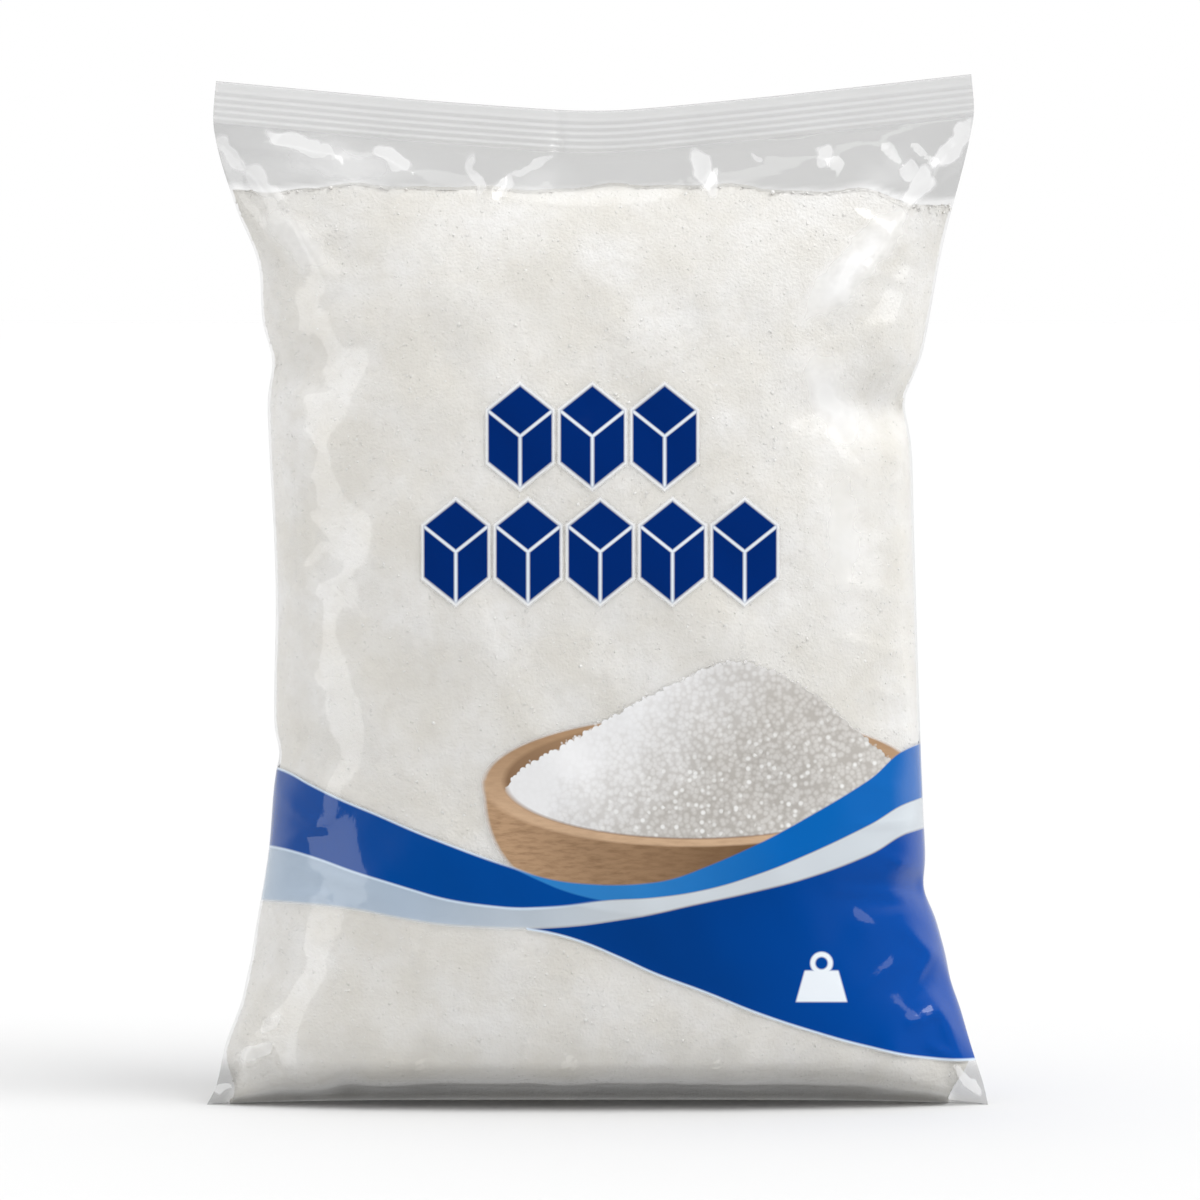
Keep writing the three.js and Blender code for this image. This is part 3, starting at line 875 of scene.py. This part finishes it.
# %% Masks
def curve_height(n, across, points):
    """The height of one printed edge at this distance round the bag."""
    node = n.add("FloatCurve", {"Value": n.add("MapRange", across, -PRINT_HALF, PRINT_HALF)})
    curve = node.mapping.curves[0]
    spots = [((x + PRINT_HALF) / (2 * PRINT_HALF), z / PRINT_TOP) for x, z in points]
    curve.points[0].location = spots[0]
    curve.points[1].location = spots[-1]
    for spot in spots[1:-1]:
        curve.points.new(*spot)
    node.mapping.update()
    return n.add("Math", node, PRINT_TOP, operation="MULTIPLY")


PRINT_EDGE = 0.22  # half width of a printed edge's softness, in millimetres


def apart(n, a, b):
    """How far two values are from each other."""
    return n.add("Math", n.add("Math", a, b, operation="SUBTRACT"), operation="ABSOLUTE")


def over(n, value, limit, half=PRINT_EDGE):
    """1 where value is over limit, with an edge as soft as print."""
    gap = n.add("Math", value, limit, operation="SUBTRACT")
    return n.add("Math", gap, 0.5 / half, 0.5, operation="MULTIPLY_ADD", use_clamp=True)


def both(n, *masks):
    """1 where all of the masks are."""
    out = masks[0]
    for mask in masks[1:]:
        out = n.add("Math", out, mask, operation="MULTIPLY")
    return out


def band(n, height, low, high):
    """1 between a lower and an upper edge."""
    return both(n, over(n, height, low), over(n, high, height))


def line(n, height, edge, half=0.25):
    """A thin line along an edge."""
    return over(n, half, apart(n, height, edge))


def cubes(n, across, up, middle, row, pitch, count):
    """A row of isometric sugar cubes: dark hexagons with pale inner edges and a pale outline."""
    half_width, half_height = 6.9, 11.0
    shifted = n.add("Math", across, middle, operation="SUBTRACT")
    step = n.add("Math", n.add("Math", shifted, pitch, operation="DIVIDE"), operation="ROUND")
    most = (count - 1) / 2
    step = n.add("Math", n.add("Math", step, most, operation="MINIMUM"), -most, operation="MAXIMUM")
    dx = apart(n, shifted, n.add("Math", step, pitch, operation="MULTIPLY"))
    dz = n.add("Math", up, row, operation="SUBTRACT")
    p = n.add("Math", dx, half_width, operation="DIVIDE")
    q = n.add("Math", n.add("Math", dz, operation="ABSOLUTE"), half_height, operation="DIVIDE")
    reach = n.add(
        "Math", p, n.add("Math", p, 0.5, q, operation="MULTIPLY_ADD"), operation="MAXIMUM")
    from_edge = n.add(
        "Math", n.add("Math", 1.0, reach, operation="SUBTRACT"), half_width, operation="MULTIPLY")
    inside = over(n, from_edge, 0)
    rim = over(n, from_edge, -0.55)
    slope = n.add("Math", p, half_height / 2, operation="MULTIPLY")
    upper = over(n, 0.42, apart(n, dz, slope))
    lower = both(n, over(n, 0.34, dx), over(n, 0, dz))
    return inside, rim, n.add("Math", upper, lower, operation="MAXIMUM")


def within(n, how_far):
    """1 inside one of the bowl's ellipses, given how far inside it a place is."""
    return over(n, n.add("Math", how_far, BOWL_EDGE, operation="MULTIPLY"), 0)


def ellipse(n, across, up, middle, row, half_width, half_height, power=2.0, tilt=0.0):
    """How far inside an ellipse a place is, 1 in its middle and 0 on its edge."""
    dx = n.add("Math", across, middle, operation="SUBTRACT")
    dz = n.add(
        "Math", dx, -tilt, n.add("Math", up, row, operation="SUBTRACT"), operation="MULTIPLY_ADD")
    a = n.add(
        "Math",
        n.add("Math", n.add("Math", dx, operation="ABSOLUTE"), half_width, operation="DIVIDE"),
        power, operation="POWER")
    b = n.add(
        "Math",
        n.add("Math", n.add("Math", dz, operation="ABSOLUTE"), half_height, operation="DIVIDE"),
        power, operation="POWER")
    return n.add("Math", 1.0, n.add("Math", a, b, operation="ADD"), operation="SUBTRACT"), dx, dz


print("a printed edge is", 2 * PRINT_EDGE, "mm wide")

# %% Milky folds and painted glints
def two_sided_index(n, index):
    """The index that makes a thin sheet reflect alike from its front and from behind."""
    behind = n.add("NewGeometry").outputs["Backfacing"]
    return n.add("MapRange", behind, 0, 1, index, 1 / index)


# Film goes milky where it is folded, and the same patches paint glints and soft-box reflections on
# its folds: (across, height, half length, half width, turn, strength)
MILKY_AND_GLINTS = [
    (-78.8, 204.5, 5.8, 1.9, -50, 0.4), (-72, 197.5, 6.7, 2.6, -42, 0.34),
    (-65, 185.5, 13.5, 4.8, -47, 0.46), (-63.5, 206, 9.5, 1.9, -19, 0.4),
    (-56, 202, 24, 6, -6, 0.3), (-44.5, 203.7, 5.5, 1.8, -27, 0.4),
    (-26.3, 199.2, 5, 1.2, -75, 0.3), (-14, 201.7, 5.3, 1.1, 19, 0.32),
    (-19.8, 197.8, 3.8, 1.3, 63, 0.32), (-13, 198, 10, 5, 0, 0.2), (-8, 206.6, 2.2, 0.8, 90, 0.4),
    (23, 199.8, 6.3, 2.3, -68, 0.4), (34.7, 203.3, 2, 0.8, -33, 0.3),
    (48.8, 203.6, 2.4, 2.2, 0, 0.4),
    (62, 200.5, 10, 4.5, 35, 0.2), (76.9, 206, 7.5, 2.2, 49, 0.5), (67, 200.8, 3.2, 1.8, -36, 0.45),
    (69.3, 196.3, 5.6, 2.8, 60, 0.5), (55.5, 180, 20, 5.6, 48, 0.75),
    (50.5, 151, 15, 6.6, -66, 0.6), (53, 122, 34, 9, 90, 0.3),
    (-73.5, 10, 5, 2, 37, 0.35), (-71, 17, 3.6, 1.4, 45, 0.25), (-81.8, 1.9, 2.2, 0.9, 37, 0.45),
    (71, 32.5, 6, 1, -35, 0.25), (75.5, 16.5, 6, 1.1, -65, 0.3), (79.5, 4.2, 4.8, 1.3, -43, 0.4),
]
BEND = 5.0  # how far noise bends the outlines of these patches, in millimetres


def milky_folds_and_glints(n, in_mm):
    """How milky the film is, with glints painted in: bent ellipses along the sharpest folds, the
    large ones softer.
    """
    noise = n.add("TexNoise", {
        "Vector": in_mm, "Scale": 0.24, "Detail": 2.0, "Roughness": 0.35}).outputs["Color"]
    bent = n.add("VectorMath", noise, (BEND, BEND, 0), in_mm, operation="MULTIPLY_ADD")
    most = 0.0
    for x, z, long, wide, turn, strength in MILKY_AND_GLINTS:
        local = n.add("Mapping", {
            "Vector": bent, "Location": (x + BEND / 2, z + BEND / 2, 0),
            "Rotation": (0, 0, math.radians(turn)), "Scale": (long, wide, 1),
        }, vector_type="TEXTURE")
        away = n.add("VectorMath", local, operation="LENGTH")
        full = 0.8 if wide < 4 else 0.25
        most = n.add(
            "Math", most, n.add("MapRange", away, 1.05, full, 0, strength), operation="MAXIMUM")
    return most


print(len(MILKY_AND_GLINTS), "milky folds")

# %% [markdown]
# Inks are laid one over another, as a press lays them. Each covers what is below it, and the
# film stays clear where nothing is laid.

# %% Ink
n = new_material("clear_printed_film")
where = n.add("UVMap", uv_map="print")
split = n.add("SeparateXYZ", where)
across = n.add("Math", split.outputs[0], 100, operation="MULTIPLY")
up = n.add("Math", split.outputs[1], 100, operation="MULTIPLY")
place = n.add("TexCoord").outputs["Object"]
slack = n.add("Attribute", attribute_name="slack").outputs["Fac"]
ink = {"colour": "#ffffff", "cover": 0.0}


def paint(mask, colour, cover=1.0):
    """Lays one more ink over those below it."""
    share = n.add("Math", mask, cover, operation="MULTIPLY")
    ink["colour"] = n.add("Mix", {0: mask, 6: ink["colour"], 7: colour}, data_type="RGBA")
    rest = n.add("Math", 1.0, share, operation="SUBTRACT")
    ink["cover"] = n.add("Math", ink["cover"], rest, share, operation="MULTIPLY_ADD")


print("the film's ink starts on", len(n.tree.nodes), "nodes")

# %% [markdown]
# The bowl is a wooden body with its rim and hollow, each an ellipse cut off or tilted a little,
# with fibres of stretched noise.

# %% The bowl
fibres = n.add("Mapping", {"Vector": where, "Rotation": (0, 0, 0.9), "Scale": (25, 110, 1)})
grain = n.add("TexNoise", {"Vector": fibres, "Scale": 1.0, "Detail": 4, "Roughness": 0.6})
body_in, dx, dz = ellipse(n, across, up, BOWL_MIDDLE, 69.6, 47, 30, power=2.6, tilt=BOWL_TILT)
rim_in, _, rim_dz = ellipse(n, across, up, BOWL_MIDDLE, 69, 47.2, 14.3, tilt=BOWL_TILT)
hole_in, _, _ = ellipse(n, across, up, BOWL_MIDDLE, 69.3, 42.6, 13, tilt=BOWL_TILT)
wood = turning(n, dx, -48, 12, "#b99878", "#71563d")
wood = turning(n, grain, 0.42, 0.7, wood, "#694d36", 0.45)
paint(both(n, within(n, body_in), over(n, 0, dz)), wood)
rim_wood = turning(n, rim_dz, -7, 8, "#cbab8c", "#ab8b6c")
rim_wood = turning(n, grain, 0.4, 0.7, rim_wood, "#8d7055", 0.25)
paint(within(n, rim_in), rim_wood)
hollow = turning(n, rim_dz, -10, 12, "#7a5d45", "#9a7c60")
paint(within(n, hole_in), hollow)
print("with the bowl", len(n.tree.nodes), "nodes")

# %% [markdown]
# The heap is bright and smooth on its left slope, and grainy and shaded on its right, where
# Voronoi cells of 1.0 to 1.4 mm stand for the picture's crystals.

# %% The heap
in_mm = n.add("Mapping", {"Vector": where, "Scale": (100, 100, 100)})
crumbs = n.add("TexVoronoi", {"Vector": in_mm, "Scale": 0.95}).outputs["Distance"]
beads = n.add("TexVoronoi", {"Vector": in_mm, "Scale": 0.7})
heap_edge = curve_height(n, across, HEAP_TOP)
crumbly = n.add("Math", 0.42, crumbs, operation="SUBTRACT")
heap_edge = n.add("Math", crumbly, 1.6, heap_edge, operation="MULTIPLY_ADD")
front_rim, _, _ = ellipse(n, across, up, BOWL_MIDDLE, 69.3, 42.4, 12.8, tilt=BOWL_TILT)
above_rim = n.add("Math", within(n, front_rim), over(n, dz, 0), operation="MAXIMUM")
heap = both(n, over(n, heap_edge, up), above_rim, over(n, across, -20.6), over(n, 65, across))
shade = n.add("TexNoise", {"Vector": in_mm, "Scale": 0.2, "Detail": 3})
shade = n.add("Math", shade, 0.5, operation="SUBTRACT")
slope = n.add("Math", up, -0.88, across, operation="MULTIPLY_ADD")
slope = n.add("Math", shade, 22, slope, operation="MULTIPLY_ADD")
heap_tone = turning(n, slope, -66, -36, "#e9e9ea", "#c9c6c2")
gaps = n.add(
    "Math", n.add("MapRange", crumbs, 0.3, 0.75),
    n.add("MapRange", slope, -70, -30, 0.04, 0.75), operation="MULTIPLY")
heap_tone = n.add("Mix", {0: gaps, 6: heap_tone, 7: "#aaa59f"}, data_type="RGBA")
grey_bead = n.add("SeparateXYZ", beads.outputs["Color"])
bead = n.add(
    "Math", n.add("MapRange", beads.outputs["Distance"], 0.46, 0.2), over(n, grey_bead, 0.6),
    operation="MULTIPLY")
low_side = n.add(
    "Math", n.add("MapRange", up, 90, 70, 0.15, 0.8), n.add("MapRange", slope, -66, -44),
    operation="MULTIPLY")
bead = n.add("Math", bead, low_side, operation="MULTIPLY")
heap_tone = n.add("Mix", {0: bead, 6: heap_tone, 7: "#f0f0ef"}, data_type="RGBA")
paint(heap, heap_tone)
print("with the heap", len(n.tree.nodes), "nodes")

# %% [markdown]
# Each wave is the band between two edges. Where the photograph's colour changes along a wave,
# the ink turns from one tone to another with the distance round the bag.

# %% The waves
blue_top = curve_height(n, across, BLUE_TOP)
dark_tip = curve_height(n, across, DARK_TIP)
pale_top = curve_height(n, across, PALE_TOP)
pale_bottom = curve_height(n, across, PALE_BOTTOM)
field_bottom = curve_height(n, across, FIELD_BOTTOM)
blue = band(n, up, pale_top, blue_top)
ribbon = turning(n, across, 8, 40, INK_OVERLAP, INK_RIBBON)
paint(both(n, over(n, across, -19), blue), ribbon, 0.97)
paint(both(n, over(n, 4, across), blue, over(n, dark_tip, up)), INK_DARK)
pale = turning(n, across, -40, 6, INK_LIGHT, INK_STRIPE)
pale_in = both(n, over(n, pale_top, up), over(n, up, pale_bottom, 0.5))
paint(pale_in, pale, n.add("MapRange", across, -20, 6, 0.74, 0.92))
field = both(n, over(n, across, -15.4), band(n, up, field_bottom, pale_bottom))
paint(field, turning(n, across, 20, 72, INK_FIELD, "#0048a0"))
upper_line = n.add(
    "Math", line(n, up, blue_top), n.add("MapRange", across, -26, -13, 0.9, 0),
    operation="MULTIPLY")
paint(upper_line, INK_OUTLINE)
lower_line = n.add(
    "Math", line(n, up, pale_top), n.add("MapRange", across, -14, 2, 0.9, 0),
    operation="MULTIPLY")
paint(lower_line, INK_OUTLINE)
paint(both(n, over(n, across, -15.4), line(n, up, field_bottom)), INK_OUTLINE, 0.9)
print("with the waves", len(n.tree.nodes), "nodes")

# %% [markdown]
# The motif is two rows of plain sugar cubes. A plain balance weight stands pale on the blue.

# %% The motif and the weight
CUBE_PITCH = 15.6  # from one cube of a row to the next
WEIGHT_MIDDLE = (48.5, 24.4)
for middle, row, count in ((-1.1, 143.3, 3), (0.6, 118.4, 5)):
    inside, outline, inner = cubes(n, across, up, middle, row, CUBE_PITCH, count)
    paint(outline, "#eef0f2", 0.85)
    paint(inside, INK_NAVY)
    paint(both(n, inside, inner), "#dfe6ee", 0.95)

# The weight: a flared block with a ring on top
dx = apart(n, across, WEIGHT_MIDDLE[0])
dz = n.add("Math", up, WEIGHT_MIDDLE[1], operation="SUBTRACT")
flare = n.add("Math", dz, -0.28, 4.6, operation="MULTIPLY_ADD")
block = both(n, over(n, flare, dx), over(n, 3.4, n.add("Math", dz, operation="ABSOLUTE")))
above = n.add("Math", dz, 5.0, operation="SUBTRACT")
squares = [n.add("Math", side, 2, operation="POWER") for side in (dx, above)]
radius = n.add("Math", n.add("Math", *squares, operation="ADD"), operation="SQRT")
ring = over(n, 0.55, apart(n, radius, 1.9))
paint(n.add("Math", block, ring, operation="MAXIMUM"), "#e6ecf2")
print("with the motif", len(n.tree.nodes), "nodes")

# %% [markdown]
# Under the ink lies clear film, hazy where it is slack and milky where it is folded, and over
# both lies one gloss. The milky patches also paint glints and soft-box reflections on the folds.
# Along the foot the gloss is dimmed, as painted shade for the shadowed floor it would mirror.

# %% Film, haze and gloss
ripple = n.add("TexNoise", {"Vector": place, "Scale": 900, "Detail": 2})
soft = n.add("TexNoise", {"Vector": place, "Scale": 160, "Detail": 2})
height = n.add("Math", ripple, 0.2, soft, operation="MULTIPLY_ADD")
bump = n.add("Bump", {"Strength": 0.12, "Distance": 0.0006, "Height": height})
tint = n.add("Mix", {0: slack, 6: "#fbfbfb", 7: "#e6e6e6"}, data_type="RGBA")
clear = n.add("BsdfTransparent", {"Color": tint})
# Painted highlights: the milky patches also stand for glints and soft-box reflections on the folds
milk_and_glint = milky_folds_and_glints(n, in_mm)
haze_tone = turning(n, slack, 1, 2, "#ececeb", "#fcfcfc")
haze_tone = turning(n, milk_and_glint, 0, 0.1, haze_tone, "#ffffff")
haze = n.add("BsdfDiffuse", {"Color": haze_tone})
wetting = n.add("TexNoise", {"Vector": place, "Scale": 55, "Detail": 3, "Roughness": 0.55})
clinging = n.add("MapRange", wetting, 0.52, 0.56, 0, 0.06)
frosted = n.add(
    "Math", n.add("MapRange", slack, 0, 1, 0.0, 0.1), n.add("MapRange", slack, 1, 2, 0.0, 0.28),
    operation="ADD")
cloud = n.add(
    "Math", milk_and_glint, n.add("Math", clinging, frosted, operation="MAXIMUM"), operation="MAXIMUM")
hazy = n.add("MixShader", cloud, clear, haze)
inked = n.add("BsdfDiffuse", {"Color": ink["colour"]})
printed = n.add("MixShader", ink["cover"], hazy, inked)
gloss = n.add("BsdfGlossy", {"Color": (1, 1, 1, 1), "Roughness": 0.07, "Normal": bump})
fresnel = n.add("Fresnel", {"IOR": two_sided_index(n, 1.52), "Normal": bump})
height_up = n.add("SeparateXYZ", place).outputs["Z"]
# Painted shade: the gloss is dimmed along the foot, standing in for the shadowed floor that it
# would mirror there
mirror = n.add(
    "Math", fresnel, n.add("MapRange", height_up, 0.004, 0.012, 0.15, 1),
    operation="MULTIPLY")
n.add("OutputMaterial", n.add("MixShader", mirror, printed, gloss))
film.data.materials.append(n.owner)
print("the film's material has", len(n.tree.nodes), "nodes")

# %% [markdown]
# The seam and the weld are the same clear film with no ink on it.

# %% Plain film
def plain_film_material():
    n = new_material("clear_film")
    place = n.add("TexCoord").outputs["Object"]
    rough = n.add("TexNoise", {"Vector": place, "Scale": 400, "Detail": 2})
    bump = n.add("Bump", {"Strength": 0.2, "Distance": 0.0004, "Height": rough})
    clear = n.add("BsdfTransparent", {"Color": "#ffffff"})
    haze = n.add("BsdfDiffuse", {"Color": "#fcfcfb"})
    cloud = n.add("MapRange", rough, 0.3, 0.7, 0.03, 0.08)
    hazy = n.add("MixShader", cloud, clear, haze)
    gloss = n.add("BsdfGlossy", {"Color": (1, 1, 1, 1), "Roughness": 0.12, "Normal": bump})
    fresnel = n.add("Fresnel", {"IOR": two_sided_index(n, 1.25), "Normal": bump})
    n.add("OutputMaterial", n.add("MixShader", fresnel, hazy, gloss))
    return n.owner


plain = plain_film_material()
seam.data.materials.append(plain)
weld.data.materials.append(plain)
print(plain.name, "is on the seam and the weld")

# %% [markdown]
# ## Studio
#
# The photograph has a white floor that runs up into a white background, a key light from the
# upper right, and tall soft boxes whose reflections stand as pale bands near both sides.

# %% Floor and lights
bpy.ops.object.select_all(action="DESELECT")
bpy.ops.mesh.primitive_plane_add(size=1, location=(0, 0, 0))
floor = bpy.context.object
floor.name = "floor"
floor.scale = (40, 40, 1)
n = new_material("white_floor")
n.add("OutputMaterial", n.add("BsdfPrincipled", {
    "Base Color": (0.765, 0.765, 0.765, 1), "Roughness": 0.9, "Specular IOR Level": 0.1}))
floor.data.materials.append(n.owner)
floor.visible_glossy = False

# Brightness of the room in front, at the left, at the right, behind and overhead
SOFT = (0.66, 1.0, 1.1, 1.0, 1.0)  # as soft light on matt surfaces
SEEN = (0.02, 0.42, 0.13, 0.85, 0.5)  # as gloss mirrors it


def studio_world():
    """Soft light all round. Gloss mirrors a darker room, with the dark behind the camera."""
    world = bpy.data.worlds.new("studio")
    bpy.context.scene.world = world
    n = Nodes(world)

    soft_step = {"interpolation_type": "SMOOTHSTEP"}
    place = n.add("SeparateXYZ", n.add("TexCoord").outputs["Generated"]).outputs
    levels = []
    for front, left, right, behind, top in (SOFT, SEEN):
        sides = n.add("MapRange", place["X"], -0.3, 0.3, left, right, **soft_step)
        sides = n.add("MapRange", place["Y"], 0.05, 0.5, sides, behind, **soft_step)
        level = n.add("MapRange", place["Y"], -0.9, -0.45, front, sides, **soft_step)
        overhead = n.add("MapRange", place["Z"], 0.4, 0.7, 0, 1, **soft_step)
        levels.append(n.add("Mix", {0: overhead, 2: level, 3: top}))
    ray = n.add("LightPath").outputs
    strength = n.add("Mix", {0: ray["Is Glossy Ray"], 2: levels[0], 3: levels[1]})
    strength = n.add("Mix", {0: ray["Is Camera Ray"], 2: strength, 3: 1.0})
    n.add("OutputWorld", n.add("Background", (1, 1, 1, 1), strength))


studio_world()


def toward_bag(name, light, azimuth, elevation, distance):
    """Places a lamp that faces the bag; azimuth 0 is in front, positive to the right."""
    a, e = math.radians(azimuth), math.radians(elevation)
    away = np.array([math.sin(a) * math.cos(e), -math.cos(a) * math.cos(e), math.sin(e)])
    lamp = bpy.data.objects.new(name, light)
    lamp.location = np.array([0, 0, 0.11]) + distance * away
    lamp.rotation_euler = (math.pi / 2 - e, 0, a)
    bpy.context.collection.objects.link(lamp)
    return lamp


key = bpy.data.lights.new("key", "SUN")
key.energy = 1.4
key.angle = math.radians(38)
toward_bag("key", key, 58, 54, 3)


def soft_box(name, azimuth, elevation, distance, width, height, watts):
    """A soft box that doesn't light the sugar and only shows as a reflection."""
    light = bpy.data.lights.new(name, "AREA")
    light.shape = "RECTANGLE"
    light.size, light.size_y = width, height
    light.energy = watts
    lamp = toward_bag(name, light, azimuth, elevation, distance)
    lamp.visible_diffuse = False


soft_box("right_box", 57, 24, 1.2, 0.34, 0.5, 0.8)
soft_box("left_box", -63, 4, 1.1, 0.4, 1.1, 2.2)
soft_box("top_box", 0, 78, 1.2, 1.0, 0.2, 0.9)
bpy.context.scene.view_settings.view_transform = "Standard"
print(len(bpy.data.lights), "lights and a soft room")

# %% [markdown]
# ## Hand over
#
# Every piece rides on the one body. The film, the sugar and its crystals, the seam and the weld
# together stand for the CAD solid.

# %% Pieces and bodies
pieces = (film, sugar, fine_crystals, coarse_crystals, seam, weld)
for piece in pieces:
    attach(piece, "root")
    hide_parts("sugar_bag")
